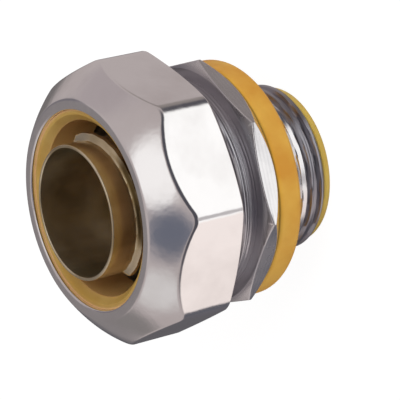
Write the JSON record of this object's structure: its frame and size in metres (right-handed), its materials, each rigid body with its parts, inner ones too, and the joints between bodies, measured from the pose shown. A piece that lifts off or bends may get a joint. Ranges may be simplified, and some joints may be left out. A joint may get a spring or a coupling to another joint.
{
  "type": "liquidtight conduit connector",
  "caption": "Straight gland connector: octagonal nut with a domed front over a nylon ring and a ridged ferrule, octagon body, sealing gasket and a threaded shank with an insulated throat.",
  "frame": {"origin": "on the axis, in the plane of the gasket face that meets the wall of the box", "axes": "+Z along the axis towards the gland nut and the conduit, -Z along the box thread; a flat of the body's octagon is square to X"},
  "size_m": [0.0432, 0.0432, 0.0385],
  "materials": {
    "body_metal": "bright zinc plated, turned",
    "nut_metal": "bright zinc plated, cast and tumbled",
    "ferrule_metal": "yellow chromate over zinc, drawn sheet",
    "ring_nylon": "moulded nylon",
    "liner_nylon": "moulded nylon",
    "gasket_plastic": "moulded, soft"
  },
  "bodies": {
    "connector": {"connector_body": "body_metal", "throat_liner": "liner_nylon", "sealing_gasket": "gasket_plastic", "ferrule": "ferrule_metal"},
    "gland_ring": {"compression_ring": "ring_nylon"},
    "nut": {"gland_nut": "nut_metal"}
  },
  "joints": [
    {"name": "ring_slide", "type": "slide", "parent": "connector", "child": "gland_ring", "axis": [0, 0, 1], "range_m": [0, 0.0078]},
    {"name": "nut_turn", "type": "hinge", "parent": "gland_ring", "child": "nut", "pos_m": [0, 0, 0.0203], "axis": [0, 0, 1], "range_deg": [0, 1870]}
  ],
  "couplings": [
    {"joint": "ring_slide", "follows": "nut_turn", "m_per_rad": 0.00023873}
  ]
}
